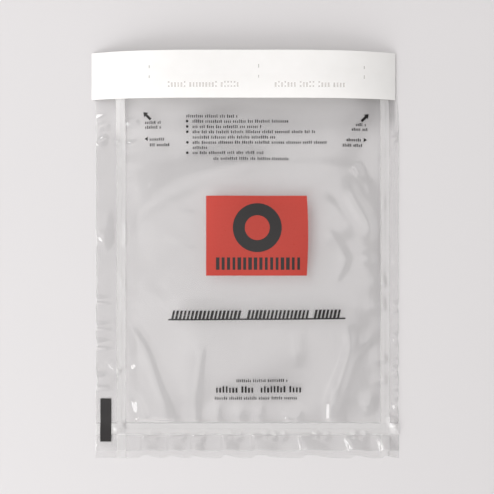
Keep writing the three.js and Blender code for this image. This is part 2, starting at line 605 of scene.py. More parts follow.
GAUSS_SLOPE = math.sqrt(2 / math.e)  # steepest slope of a bell of height and half width 1
C, R, L = Crease, Steep.RIGHT, Steep.LEFT
CREASES = (
    # lower left: the long fold down to the bottom weld, and the short ones beside it
    C(((116, 331), (126, 331), (133, 336), (141, 347), (147, 361), (155, 385), (163, 406), (169, 426)),
      6.5, L, 0.4, 3.2, 0.05, 0.05),
    C(((116, 396), (129, 397), (136, 402), (140, 410), (145, 426)), 4, L, 0.24, 3.5, 0.1, 0.1),
    C(((203, 330), (201, 352), (198, 378), (195, 402), (195, 426)), 4, L, 0.3, 2.5, 0.3, 0.05),
    # upper left: the long arc that bounds the raised middle, and the edge beside the weld
    C(((92, 240), (125, 219), (148, 202), (180, 184), (215, 171), (252, 161), (296, 155)),
      13, R, 0.2, 1.6, 0.05, 0.3),
    C(((124, 218), (124.5, 233), (123, 250)), 2.5, L, 0.42, 1.0, 0.3, 0.3, False),
    C(((187, 245), (188, 225), (194, 208)), 8, R, 0.12),
    C(((160, 300), (172, 275), (186, 255), (196, 240)), 10, R, 0.14),
    # upper right: the streak under the liner, the hollow below it, and the bright fold beside that
    C(((270, 174), (290, 167), (310, 166), (332, 167), (350, 169), (362, 174)), 8, L, 0.09, 2.0, 0.3, 0.1),
    C(((356, 170), (364, 179), (372, 189), (377, 196)), 5, L, 0.2, 1.5, 0.3, 0.3),
    C(((345, 172), (354, 198), (364, 215), (374, 232), (380, 243)), 11, R, 0.32, 0.8, 0.3, 0.2),
    C(((316, 194), (333, 207), (346, 225), (353, 242)), 8, L, 0.15, 2.5, 0.3, 0.3),
    C(((351, 159), (366, 158), (378, 156), (387, 151)), 1.8, L, 0.2, 1.5, 0.4, 0.1, False),
    C(((356, 155), (368, 154), (386, 147)), 1.6, L, 0.15, 1.5, 0.4, 0.1, False),
    # right: the crescent
    C(((319, 227), (329, 233), (336, 242), (342, 251), (346, 259), (343, 268), (337, 278), (332, 290)),
      4.5, L, 0.3, 1.3, 0.25, 0.35),
    C(((356, 256), (370, 256), (385, 257)), 4, L, 0.22, 1.2, 0.3, 0.1),
    C(((360, 262), (372, 261), (385, 262)), 4, R, 0.24, 1.2, 0.3, 0.1),
    # lower right: the arc from the side weld down to the bottom one, and the streaks beside it
    C(((390, 334), (376, 339), (366, 344), (356, 352), (349, 366), (345, 380), (339, 397), (333, 408),
       (331, 426)),
      4.5, L, 0.24, 1.6, 0.05, 0.05),
    C(((336, 399), (339, 410), (343, 426)), 4, L, 0.2, 1.2, 0.3, 0.05),
    C(((349, 322), (350, 345), (343, 372), (335, 396)), 6, R, 0.3, 0.9, 0.2, 0.2),
    C(((333, 384), (331, 402), (332, 426)), 3.5, R, 0.25, 1.2, 0.3, 0.05),
    C(((294, 320), (297, 345), (299, 372)), 6, R, 0.13, 1.6, 0.3, 0.4),
    C(((390, 360), (380, 361), (370, 360)), 4, L, 0.2, 1.2, 0.2, 0.5, False),
    C(((390, 381), (380, 382), (371, 381)), 4, L, 0.2, 1.2, 0.2, 0.5, False),
    C(((386, 402), (374, 405), (361, 410)), 7, L, 0.2, 1.2, 0.2, 0.3),
    # pleats that stand on the bottom weld
    C(((217, 426), (217, 411), (219, 396)), 3.5, R, 0.28, 2.0, 0.05, 0.6),
    C(((240, 426), (240, 412), (238, 402)), 3.5, R, 0.22, 2.0, 0.05, 0.6),
    C(((260, 426), (261, 410), (259, 398)), 3.5, R, 0.24, 2.0, 0.05, 0.6),
    C(((290, 426), (287, 417), (284, 408)), 3, L, 0.34, 1.2, 0.05, 0.6),
    C(((297, 426), (299, 416), (297, 404)), 4, R, 0.26, 2.0, 0.05, 0.6),
    # puckers on the side welds
    C(((118, 163), (136, 162), (146, 164)), 4, R, 0.12, 2, 0.1, 0.6, False),
    C(((118, 288), (136, 286), (148, 288)), 5, R, 0.14, 2, 0.1, 0.6, False),
    C(((118, 307), (134, 308), (142, 306)), 4, R, 0.12, 2, 0.1, 0.6, False),
    C(((118, 366), (133, 364), (140, 366)), 4, R, 0.12, 2, 0.1, 0.6, False),
    C(((388, 205), (374, 206), (366, 204)), 4, L, 0.12, 2, 0.1, 0.6, False),
    C(((388, 282), (374, 284), (364, 282)), 5, L, 0.16, 2, 0.1, 0.6, False),
    C(((388, 306), (374, 308), (362, 306)), 5, L, 0.16, 2, 0.1, 0.6, False),
)


class Lamp(Enum):
    """Where the lamps hang that are small enough to show in the film as white spots."""

    KEY = (-1.0, -0.9, 0.65)
    WINDOW = (-0.8, 0.95, 1.0)


@dataclass(frozen=True)
class Pucker:
    """A short sharp fold in the film, tilted so that one flank mirrors a lamp up to the viewer."""

    px: float
    py: float
    length: float  # pixels
    lamp: Lamp = Lamp.WINDOW
    width: float = 3.4  # pixels, of the flank

    def crease(self, ground: Heights, sharpen: float) -> Crease:
        """The crease that tilts the film as far as the lamp needs.

        Args:
            ground: The height of the film without it.
            sharpen: What the bag multiplies a crease's height by.

        Returns:
            The crease.
        """
        here = np.array([*VIEW.at(self.px, self.py), 0.0])
        to_lamp = np.array(self.lamp.value) - here
        to_eye = np.array([VIEW.aim_x, VIEW.aim_y, VIEW.distance]) - here
        half = to_lamp / np.linalg.norm(to_lamp) + to_eye / np.linalg.norm(to_eye)
        probe = 0.5 * MM
        xs, ys = here[0] + probe * np.array([1, -1, 0, 0]), here[1] + probe * np.array([0, 0, 1, -1])
        east, west, north, south = ground(xs, ys)
        tilt = -half[:2] / half[2] - np.array([east - west, north - south]) / (2 * probe)
        slope = float(np.hypot(*tilt))
        up = tilt / slope
        crest = np.array([self.px + 0.7 * self.width * up[0], self.py - 0.7 * self.width * up[1]])
        along = np.array([-up[1], -up[0]]) * (self.length / 2 + self.width)
        path = (tuple(crest - along), tuple(crest), tuple(crest + along))
        slope /= sharpen
        return Crease(path, self.width, L, slope, gentle=1.3, start=0.25, end=0.25, held=False)


PUCKERS = (
    # the corner at the top left, where the liner draws the film up
    Pucker(100, 114, 12), Pucker(100, 123, 13), Pucker(96, 129.5, 5, width=2.4), Pucker(99, 138, 10),
    Pucker(112, 139, 6, width=2.8), Pucker(130, 141, 13), Pucker(131, 118, 12, width=2.8),
    # the bright fold under the liner, and spots in the loose film
    Pucker(356.5, 171, 8, Lamp.KEY), Pucker(395.5, 136.5, 4, width=2.4), Pucker(111, 370, 12, Lamp.KEY),
    Pucker(392, 425, 10, Lamp.KEY), Pucker(117, 426, 8),
    # the lower edge of the bottom weld
    *(Pucker(px, 437, 4, width=2.6)
      for px in (148, 154, 181, 201, 229, 238, 264, 273, 283, 315, 326, 354, 364)),
)  # fmt: skip

LEFT_RUFFLES = tuple(
    Ruffle(*r)
    for r in (
        (123, 6, 1.6), (139, 5, 1.8), (158, 6, 0.5), (186, 9, 0.6), (212, 8, 0.5), (241, 9, 2.2, 4),
        (262, 7, 0.7), (283, 8, 1.4), (300, 4, 2.6, 4), (326, 4, 2.8, 4), (344, 5, 2.8, 4), (361, 5, 1.0),
        (381, 8, 3.2, 4), (408, 8, 0.7), (432, 7, 1.8),
    )
)  # fmt: skip
RIGHT_RUFFLES = tuple(
    Ruffle(*r)
    for r in (
        (137, 5, 0.9), (156, 6, 0.7), (180, 8, 0.8), (207, 8, 0.8), (236, 7, 0.9), (260, 6, 1.2),
        (283, 7, 0.9), (306, 5, 2.2), (322, 4, 0.9), (338, 6, 2.4), (355, 4, 0.9), (370, 5, 2.2),
        (387, 4, 1.2), (404, 7, 2.6), (427, 6, 2.2),
    )
)  # fmt: skip


@dataclass(frozen=True)
class Flap:
    """A raised length of the skirt: it rises sharply at its left edge and falls slowly to the right."""

    top: float  # pixel column of its left edge at the weld
    foot: float  # and at the hem
    right: float  # where it has come down again
    height: float  # mm at the hem
    rise: float = 4.0  # pixels
    swell: float = 0.6  # below 1, most of the height is reached near the weld

    def share(self, x: np.ndarray, out: np.ndarray) -> np.ndarray:
        """Its height.

        Args:
            x: Places across the bag.
            out: How far down the skirt each is, from 0 to 1.

        Returns:
            A height for each place.
        """
        left = VIEW.x(self.top, 0.0) + (VIEW.x(self.foot, 0.0) - VIEW.x(self.top, 0.0)) * out
        right = VIEW.x(self.right, 0.0)
        rising = smooth((x - left) / (self.rise * VIEW.scale(0)) + 0.5)
        return self.height * MM * out**self.swell * rising * (1 - smooth((x - left) / (right - left)))


SKIRT_FLAPS = tuple(
    Flap(*f)
    for f in (
        (96, 98, 128, 1.5), (142, 141, 165, 5.6), (168, 168, 188, 4.4), (192, 191, 208, 4.4),
        (222, 222, 243, 5.6), (252, 254, 284, 5.6), (298, 304, 336, 6.4), (343, 353, 373, 5.6),
        (375, 384, 400, 5.0),
    )
)  # fmt: skip


@dataclass(eq=False)
class BagShape:
    """The heights and edges of the two webs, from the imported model's boxes and the bag's own sizes."""

    film: float = 0.1 * MM
    left_flange: float = 16 * MM
    right_flange: float = 7 * MM
    weld: float = 6.8 * MM
    skirt: float = 18 * MM
    bottom_weld: float = 8.6 * MM
    bow: float = 13 * MM
    back_run: float = 60 * MM
    air: float = 7 * MM
    fold: float = 1.45  # how much the film's tension sharpens the creases
    clearance: float = 0.06 * MM
    liner: float = 0.12 * MM
    adhesive: float = 0.13 * MM
    sway: float = 0.4 * MM  # unevenness of the slack film
    loose_touch: float = 0.35
    lying_height: float = 0.5 * MM
    side_hold: float = 10 * MM  # within this of a side weld the film is held down
    low_hold: float = 4 * MM  # and within this of the bottom weld
    neck: float = 3.2 * MM  # how far the bowed mouth draws the right edge in
    neck_start: float = 25 * MM  # how far below the liner that begins
    neck_run: float = 60 * MM
    bead_and_glint: float = 3.0  # how milky the lower edge of the bottom weld is: partly the sealing jaw's melt ridge, partly a painted glint line
    line: float = 0.7 * MM  # width of the painted bright line along a cut edge and along the bottom weld's lower edge
    blur: float = 0.5 * MM  # of the welds' edges
    pull: float = 0.45  # how far a wave draws the film's edge in, as a share of its height
    fold_fade: float = 8 * MM  # over this, below the liner, folds die out
    ruffle_fade: float = 12 * MM  # and ruffles
    hold_fade: float = 50 * MM  # over this, below the mouth, the welds come to hold the film down
    mesh_step: float = 1.35 * MM
    left: float = field(init=False)
    right: float = field(init=False)
    hem: float = field(init=False)
    top: float = field(init=False)
    front_hem: float = field(init=False)
    mouth: float = field(init=False)
    liner_left: float = field(init=False)
    liner_right: float = field(init=False)
    liner_low: float = field(init=False)

    def __post_init__(self) -> None:
        """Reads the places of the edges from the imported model."""
        low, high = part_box("back_panel")
        self.left, self.right, self.hem, self.top = low.x, high.x, low.y, high.y
        low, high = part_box("front_panel")
        self.front_hem, self.mouth = low.y, high.y
        low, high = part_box("release_liner")
        self.liner_left, self.liner_right, self.liner_low = low.x, high.x, low.y

    @property
    def weld_left(self) -> float:
        """Outer edge of the left weld."""
        return self.left + self.left_flange

    @property
    def weld_right(self) -> float:
        """Outer edge of the right weld."""
        return self.right - self.right_flange

    @property
    def pouch_left(self) -> float:
        """Inner edge of the left weld."""
        return self.weld_left + self.weld

    @property
    def pouch_right(self) -> float:
        """Inner edge of the right weld."""
        return self.weld_right - self.weld

    @property
    def skirt_top(self) -> float:
        """Lower edge of the bottom weld."""
        return self.hem + self.skirt

    @property
    def pouch_low(self) -> float:
        """Upper edge of the bottom weld."""
        return self.skirt_top + self.bottom_weld

    def lift(self, x: np.ndarray, y: np.ndarray) -> np.ndarray:
        """How far the bowed liner holds the film off the table."""
        rise = smoother((y - (self.mouth - self.back_run)) / self.back_run)
        return self.bow * crown(x, self.liner_left, self.liner_right) * rise

    def back_under(self, x: np.ndarray, y: np.ndarray) -> np.ndarray:
        """Height of the back web's underside."""
        over = smooth((y - self.mouth) / (self.top - self.mouth))
        return self.lift(x, y) + (self.film + self.clearance) * over

    def sway_at(self, x: np.ndarray, y: np.ndarray) -> np.ndarray:
        """Unevenness of slack film: a few long waves that don't line up.

        Args:
            x: Places across the bag.
            y: Places along it.

        Returns:
            A height for each place.
        """
        waves = ((83, 140, 0.4), (-150, 71, 2.1), (61, -190, 4.0), (240, 97, 5.2))  # mm
        return self.sway * sum(
            np.sin(2 * math.pi * (x / (a * MM) + y / (b * MM)) + phase) for a, b, phase in waves
        )

    def ruffles(self, x: np.ndarray, y: np.ndarray) -> np.ndarray:
        """Height of the waves in the loose film outside the welds.

        Args:
            x: Places across the bag.
            y: Places along it.

        Returns:
            A height for each place.
        """
        out_left = np.clip((self.weld_left - x) / self.left_flange, 0, 1)
        out_right = np.clip((x - self.right + self.right_flange) / self.right_flange, 0, 1)
        out_low = np.clip((self.skirt_top - y) / self.skirt, 0, 1)
        still = smooth((self.liner_low - y) / self.ruffle_fade)
        at_left = sum(r.share(y) for r in LEFT_RUFFLES) * out_left**1.15 * still
        at_right = sum(r.share(y) for r in RIGHT_RUFFLES) * smooth(out_right * 1.2) * still
        at_low = sum(f.share(x, out_low) for f in SKIRT_FLAPS)
        return at_left + at_right + at_low

    def front_under(self, x: np.ndarray, y: np.ndarray) -> np.ndarray:
        """Height of the front web's underside."""
        folds = sum(self.fold * c.raised(x, y) for c in self.puckers())
        return self.smooth_front(x, y) + folds * smooth((self.liner_low - y) / self.fold_fade)

    @cache
    def puckers(self) -> tuple[Crease, ...]:
        """The short folds that make glints."""
        return tuple(p.crease(self.smooth_front, self.fold) for p in PUCKERS)

    def smooth_front(self, x: np.ndarray, y: np.ndarray) -> np.ndarray:
        """Height of the front web's underside without the short folds.

        Args:
            x: Places across the bag.
            y: Places along it.

        Returns:
            A height for each place.
        """
        rest = self.back_under(x, y) + self.film + self.clearance
        inside = crown(x, self.pouch_left, self.pouch_right, 3) * crown(y, self.pouch_low, self.liner_low, 3)
        slack = self.air * inside + smooth(inside * 3) * self.sway_at(x, y)
        held = (1 - self.off_welds(x, y)) * smooth((self.mouth - y) / self.hold_fade)
        folds = sum(c.raised(x, y) * (1 - held * c.held) for c in CREASES)
        folds *= self.fold * smooth((self.liner_low - y) / self.fold_fade)
        return rest + np.maximum(0, slack + folds) + self.ruffles(x, y)

    def off_welds(self, x: np.ndarray, y: np.ndarray) -> np.ndarray:
        """Is 0 in a weld, and rises to 1 where the film is far enough from it to move freely.

        Args:
            x: Places across the bag.
            y: Places along it.

        Returns:
            A share for each place.
        """
        bands = (
            (x, self.weld_left, self.pouch_left, self.side_hold),
            (x, self.pouch_right, self.weld_right, self.side_hold),
            (y, self.skirt_top, self.pouch_low, self.low_hold),
        )
        free = [smooth(np.maximum(low - at, at - high) / hold) for at, low, high, hold in bands]
        return np.minimum.reduce(free)

    def front_top(self, x: np.ndarray, y: np.ndarray) -> np.ndarray:
        """Height of the front web's upper side."""
        return self.front_under(x, y) + self.film

    def weld_mask(self, x: np.ndarray, y: np.ndarray) -> np.ndarray:
        """Is 1 in the welds and 0 outside them.

        Args:
            x: Places across the bag.
            y: Places along it.

        Returns:
            A share for each place.
        """
        left = band(x, self.weld_left, self.pouch_left, self.blur)
        right = band(x, self.pouch_right, self.weld_right, self.blur)
        low = band(y, self.skirt_top, self.pouch_low, self.blur)
        return np.maximum.reduce([left, right, low])

    def touch_mask(self, x: np.ndarray, y: np.ndarray) -> np.ndarray:
        """How closely the two webs touch: 1 in the welds, less in the loose film, 0 inside the bag.

        Args:
            x: Places across the bag.
            y: Places along it.

        Returns:
            A share for each place.
        """
        loose = (x < self.weld_left) | (x > self.weld_right) | (y < self.skirt_top)
        lying = self.loose_touch * np.exp(-self.ruffles(x, y) / self.lying_height)
        return np.maximum(self.weld_mask(x, y), np.where(loose, lying, 0.0))

    def edge_highlight_mask(self, x: np.ndarray, y: np.ndarray, low: float, high: float) -> np.ndarray:
        """Painted highlight: is 1 along a web's cut edges, and an uneven, broken amount along the lower edge
        of the bottom weld, partly the sealing jaw's melt ridge and partly painted glint.

        Args:
            x: Places across the bag.
            y: Places along it.
            low: The web's lower edge.
            high: Its upper edge.

        Returns:
            A share for each place.
        """
        inset = np.minimum(np.minimum(x - self.left, self.right - x), np.minimum(y - low, high - y))
        cut = 1 - smooth(inset / self.line)
        waves = ((0.3, 3.1, 0.4), (0.2, 1.7, 0.0))  # share, mm, radians
        # breaks the painted glint line along the bottom weld into bright and dim lengths
        uneven = sum((a * np.sin(x / (b * MM) + phase) for a, b, phase in waves), 0.5)
        bead_and_glint = self.bead_and_glint * uneven * (1 - smooth(np.abs(y - self.skirt_top) / self.line))
        return np.maximum(cut, bead_and_glint)

    def drawn(self, x: np.ndarray, y: np.ndarray) -> tuple[np.ndarray, np.ndarray]:
        """Where a flat point of film lies, once ruffles and the bowed mouth have drawn the edges in.

        Args:
            x: Places across the flat film.
            y: Places along it.

        Returns:
            The places across and along.
        """
        pulled = self.pull * self.ruffles(x, y)
        sideways = 1.0 * (x < self.weld_left) - 1.0 * (x > self.weld_right)
        upwards = np.where(y < self.skirt_top, 1.0, 0.0)
        right_share = np.clip(x / self.right, 0, 1) ** 2
        neck = self.neck * right_share * smooth((y - self.liner_low + self.neck_start) / self.neck_run)
        return x + sideways * pulled - neck, y + upwards * pulled

    def columns(self) -> np.ndarray:
        """The film's columns, with places at the edges of the welds.

        Returns:
            Places across the bag.
        """
        marks = [self.left, self.left + self.line]
        for edge in (self.weld_left, self.pouch_left, self.pouch_right, self.weld_right):
            marks += [edge - self.blur / 2, edge + self.blur / 2]
        marks += [self.right - self.line, self.right]
        return stations(marks, self.mesh_step)

    def rows(self, low: float, high: float) -> np.ndarray:
        """The rows of a web that reaches from low to high.

        Args:
            low: The web's lower edge.
            high: Its upper edge.

        Returns:
            Places along the bag.
        """
        marks = [low, low + self.line]
        for edge in (self.skirt_top, self.pouch_low):
            marks += [edge - self.line, edge, edge + self.line]
        marks += [high - self.line, high]
        return stations(marks, self.mesh_step)


# The pieces.


@dataclass
class Webs:
    """The front and back webs of film."""

    shape: BagShape
    finish: ClearFilm = ClearFilm()

    def build(self) -> dict[str, bpy.types.Object]:
        """Makes both webs.

        Returns:
            Name to object.
        """
        film = self.finish.make()
        made = {
            "back_film": self.web("back_film", self.shape.hem, self.shape.top, self.shape.back_under, film),
            "front_film": self.web(
                "front_film", self.shape.front_hem, self.shape.mouth, self.shape.front_under, film
            ),
        }
        self.declare(made)
        return made

    def web(
        self, name: str, low: float, high: float, under: Heights, film: bpy.types.Material
    ) -> bpy.types.Object:
        """Makes one web.

        Args:
            name: The piece's name.
            low: Its lower edge.
            high: Its upper edge.
            under: The height of its underside.
            film: Its material.

        Returns:
            The object.
        """
        x, y = np.meshgrid(self.shape.columns(), self.shape.rows(low, high))
        masks = {
            "weld": self.shape.weld_mask(x, y),
            "touch": self.shape.touch_mask(x, y),
            # painted highlight along the cut edges and the bottom weld's lower edge
            "edge": self.shape.edge_highlight_mask(x, y, low, high),
        }
        across, along = self.shape.drawn(x, y)
        return shell(name, across, along, under(x, y), self.shape.film, film, masks)

    def declare(self, made: dict[str, bpy.types.Object]) -> None:
        """Hides the model's panels that the webs stand for, and hangs the webs on the root body.

        Args:
            made: The webs.
        """
        lengths = {
            "back_film": (self.shape.top - self.shape.hem, "back_panel", ["table_top"]),
            "front_film": (self.shape.mouth - self.shape.front_hem, "front_panel", ["back_film"]),
        }
        for name, (length, node, rests_on) in lengths.items():
            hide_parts(node)
            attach(made[name], "root")


@dataclass
class MouthStrip:
    """The release liner and the two bands of adhesive that it covers."""

    shape: BagShape
    margin: float = 1.5 * MM
    mouth_margin: float = 0.8 * MM
    step: float = 1.5 * MM
    fold_depth: float = 0.05 * MM
    fold_width: float = 0.8 * MM
    buckle: float = 0.25 * MM
    paper: LinerPaper = LinerPaper()
    glue: Ink = Ink("pressure_sensitive_adhesive", "#e9e5d8", cover=0.55, roughness=0.3, uneven=0.3)

    def build(self) -> dict[str, bpy.types.Object]:
        """Makes the strip's three pieces.

        Returns:
            Name to object.
        """
        s = self.shape
        glue = self.glue.make()
        left, right = max(s.left, s.liner_left) + self.margin, min(s.right, s.liner_right) - self.margin
        front = s.liner_low + self.margin, s.mouth - self.mouth_margin
        lip = s.mouth + self.mouth_margin, s.top - self.margin
        rows = {
            "adhesive_on_front": (*front, "lower_adhesive_band"),
            "adhesive_on_lip": (*lip, "upper_adhesive_band"),
        }
        made = {}
        for name, (low, high, node) in rows.items():
            x, y = self.grid(left, right, low, high)
            made[name] = shell(name, x, y, self.on_film(x, y), s.adhesive, glue)
            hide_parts(node)
        x, y = self.grid(s.liner_left, s.liner_right, s.liner_low, s.top)
        made["release_liner_strip"] = shell(
            "release_liner_strip", x, y, self.liner_under(x, y), s.liner, self.paper.make()
        )
        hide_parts("release_liner")
        for piece in made.values():
            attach(piece, "root")
        return made

    def grid(self, left: float, right: float, low: float, high: float) -> tuple[np.ndarray, np.ndarray]:
        """A grid of places, from edge to edge."""
        return np.meshgrid(stations([left, right], self.step), stations([low, high], self.step / 2))

    def on_film(self, x: np.ndarray, y: np.ndarray) -> np.ndarray:
        """Height of what lies on the film at the mouth.

        Args:
            x: Places across the bag.
            y: Places along it.

        Returns:
            A height for each place.
        """
        s = self.shape
        front = s.lift(x, y) + 2 * s.film + 2 * s.clearance
        back = s.back_under(x, y) + s.film + s.clearance
        return np.where(y < s.mouth, front, back)

    def liner_under(self, x: np.ndarray, y: np.ndarray) -> np.ndarray:
        """Height of the liner's underside: over both webs, with its fold line at the mouth.

        Args:
            x: Places across the bag.
            y: Places along it.

        Returns:
            A height for each place.
        """
        s = self.shape
        over = s.lift(x, y) + 2 * s.film + s.adhesive + 4 * s.clearance + self.fold_depth
        fold = self.fold_depth * np.exp(-(((y - s.mouth) / self.fold_width) ** 2))
        long_waves = np.sin(x / (37 * MM) + 1.2) * np.sin(x / (23 * MM) + y / (30 * MM))
        return over - fold + self.buckle * 0.5 * (1 + long_waves)


@dataclass(frozen=True)
class StrokeRow:
    """A row of small print, drawn as plain upright dashes in groups: its ends and middle in pixels."""

    start: float
    end: float
    row: float
    height: float = 3.0  # pixels
    pitch: float = 1.9  # pixels from one dash to the next
    weight: float = 0.5  # share of the pitch that is ink
    slant: float = 0.0
    group: tuple[int, int] = (3, 9)  # fewest and most dashes in a group
    short: float = 0.78  # height of the lower dashes, as a share of the others'


SMALL_PRINT = tuple(
    StrokeRow(*r)
    for r in (
        (186, 237, 116), (192, 288, 121), (192, 262, 126.2), (192, 316, 131.3), (192, 276, 136.6),
        (192, 328, 141.8), (192, 207, 147), (192, 263, 152.3), (213, 290, 158.4),
        (144, 161, 122), (144, 161, 126.6), (148.5, 164, 138.5), (148.5, 169, 144),
        (356, 367.5, 124), (352, 368, 128.6), (347, 363, 139), (343, 363, 144.4),
        (236, 288, 381.5), (214, 300, 399.5),
        (215, 255, 390.5, 6.5, 3.3, 0.55), (260, 302, 390.5, 6.5, 3.3, 0.55),
    )
)  # fmt: skip
HEADINGS = tuple(
    StrokeRow(start, end, row, 8.8, 3.9, 0.6, 0.22, (30, 30), 1.0)
    for start, end, row in ((171, 241, 315.1), (247, 309, 314.7), (314, 342, 314.3))
)
PANEL_BARS = (StrokeRow(215, 300, 263.6, 12.4, 5.4, 0.6, 0.0, (40, 40), 1.0),)
GHOST_PRINT = (
    *(StrokeRow(start, end, 84, 5.6, 3.2, 0.55, 0.0, (4, 9)) for start, end in ((167, 238), (274, 346))),
    *(StrokeRow(x - 0.9, x + 0.9, y, 3.6, 1.8) for x in (149, 258.6, 365) for y in (66, 76)),
)
BULLET_ROWS = (121, 126.2, 131.3, 141.8, 152.3)


@dataclass
class Strokes:
    """Rows of dashes that lie on a sheet, made by Geometry Nodes."""

    name: str
    rows: Sequence[StrokeRow]
    ink: bpy.types.Material
    sheet: bpy.types.Object
    height: float | None = None  # of the sheet, for the photograph's frame
    thickness: float = 0.02 * MM
    clearance: float = 0.02 * MM
    tall_share: float = 0.4  # of the dashes
    space: float = 0.8  # between groups, as a share of the pitch
    spread: float = 0.15  # unevenness of the dashes' width
    seed: int = 7

    def build(self) -> bpy.types.Object:
        """Makes the dashes.

        Returns:
            One plain mesh.
        """
        values = {
            "Sheet": self.sheet,
            "Thickness": self.thickness,
            "Clearance": self.clearance,
            "Finish": self.ink,
        }
        return run_group(self.name, self.points(), self.tree(), values, self.ink)

    def points(self) -> bpy.types.Mesh:
        """One point for each dash, with its size and slant.

        Returns:
            A mesh of loose points.
        """
        random = np.random.default_rng(self.seed)
        places, sizes, slants = [], [], []
        scale = VIEW.scale(self.height)
        for row in self.rows:
            at, left_in_group = row.start + row.pitch / 2, int(random.integers(*row.group, endpoint=True))
            while at < row.end:
                if left_in_group == 0:
                    left_in_group = int(random.integers(*row.group, endpoint=True))
                    at += row.pitch * self.space
                    continue
                tall = row.height * (1.0 if random.random() < self.tall_share else row.short)
                wide = row.pitch * row.weight * random.uniform(1 - self.spread, 1 + self.spread)
                foot = row.row + row.height / 2 - tall / 2
                places.append((*VIEW.at(at, foot, self.height), 0.0))
                sizes.append((wide * scale, tall * scale, 1.0))
                slants.append(row.slant)
                at += row.pitch
                left_in_group -= 1
        mesh = bpy.data.meshes.new(self.name)
        mesh.from_pydata(places, [], [])
        mesh.attributes.new("size", "FLOAT_VECTOR", "POINT").data.foreach_set("vector", np.ravel(sizes))
        mesh.attributes.new("slant", "FLOAT", "POINT").data.foreach_set("value", np.ravel(slants))
        rows = np.array(places)[:, 1]
        mesh.attributes.new("row", "FLOAT", "POINT").data.foreach_set("value", rows)
        return mesh

    def tree(self) -> bpy.types.NodeTree:
        """The node tree: a slab on each point, slanted, then laid on the sheet.

        Returns:
            The tree.
        """
        tree, given = new_group("strokes_on_sheet", {"Points": "Geometry", "Thickness": "Float"})
        size = add_node(tree, "GeometryNodeInputNamedAttribute", {"Name": "size"}, data_type="FLOAT_VECTOR")
        slant = add_node(tree, "GeometryNodeInputNamedAttribute", {"Name": "slant"}, data_type="FLOAT")
        row = add_node(tree, "GeometryNodeInputNamedAttribute", {"Name": "row"}, data_type="FLOAT")
        block = add_node(tree, "ShaderNodeCombineXYZ", {"X": 1.0, "Y": 1.0, "Z": given["Thickness"]})
        slab = add_node(tree, "GeometryNodeMeshCube", {"Size": block.outputs[0]})
        placed = add_node(
            tree,
            "GeometryNodeInstanceOnPoints",
            {"Points": given["Points"], "Instance": slab.outputs["Mesh"], "Scale": size.outputs[0]},
        )
        place = place_of(tree)
        above = add_node(tree, "ShaderNodeMath", {0: place[1], 1: row.outputs[0]}, operation="SUBTRACT")
        across = add_node(
            tree,
            "ShaderNodeMath",
            {0: above.outputs[0], 1: slant.outputs[0], 2: place[0]},
            operation="MULTIPLY_ADD",
        )
        lay_on_sheet(tree, given, placed.outputs[0], across.outputs[0], place)
        return tree


def new_group(label: str, sockets: dict[str, str]) -> tuple[bpy.types.NodeTree, bpy.types.NodeOutputs]:
    """Makes an empty Geometry Nodes tree for something that lies on a sheet.

    Args:
        label: The tree's name.
        sockets: Its own inputs: name to type, as in NodeSocketFloat without the first two words.

    Returns:
        The tree, and the sockets that its inputs come from.
    """
    tree = bpy.data.node_groups.new(label, "GeometryNodeTree")
    for name, kind in (sockets | {"Sheet": "Object", "Clearance": "Float", "Finish": "Material"}).items():
        tree.interface.new_socket(name, in_out="INPUT", socket_type="NodeSocket" + kind)
    tree.interface.new_socket("Result", in_out="OUTPUT", socket_type="NodeSocketGeometry")
    return tree, add_node(tree, "NodeGroupInput").outputs


def place_of(tree: bpy.types.NodeTree) -> bpy.types.NodeOutputs:
    """The sockets of a point's own x, y and z."""
    place = add_node(tree, "GeometryNodeInputPosition").outputs[0]
    return add_node(tree, "ShaderNodeSeparateXYZ", {0: place}).outputs


def lay_on_sheet(
    tree: bpy.types.NodeTree,
    given: bpy.types.NodeOutputs,
    instances: bpy.types.NodeSocket,
    across: bpy.types.NodeSocket,
    place: bpy.types.NodeOutputs,
) -> None:
    """Ends a node tree: real geometry, dropped on the sheet at its own height above it, with its material.

    Args:
        tree: The node tree.
        given: Its inputs.
        instances: What it has made.
        across: Each point's place across the bag.
        place: Each point's own x, y and z.
    """
    ceiling = 0.1  # over everything
    solid = add_node(tree, "GeometryNodeRealizeInstances", {"Geometry": instances})
    target = add_node(tree, "GeometryNodeObjectInfo", {"Object": given["Sheet"]}).outputs["Geometry"]
    source = add_node(tree, "ShaderNodeCombineXYZ", {"X": across, "Y": place[1], "Z": ceiling})
    ray = {
        "Target Geometry": target,
        "Source Position": source.outputs[0],
        "Ray Direction": (0, 0, -1),
        "Ray Length": 2 * ceiling,
    }
    hit = add_node(tree, "GeometryNodeRaycast", ray).outputs["Hit Position"]
    over = add_node(tree, "ShaderNodeMath", {0: place[2], 1: given["Clearance"]}, operation="ADD")
    rise = add_node(tree, "ShaderNodeCombineXYZ", {"Z": over.outputs[0]})
    laid = add_node(tree, "ShaderNodeVectorMath", {0: hit, 1: rise.outputs[0]}, operation="ADD")
    moved = add_node(
        tree, "GeometryNodeSetPosition", {"Geometry": solid.outputs[0], "Position": laid.outputs[0]}
    )
    dressed = add_node(
        tree, "GeometryNodeSetMaterial", {"Geometry": moved.outputs[0], "Material": given["Finish"]}
    )
    add_node(tree, "NodeGroupOutput", {"Result": dressed.outputs[0]})


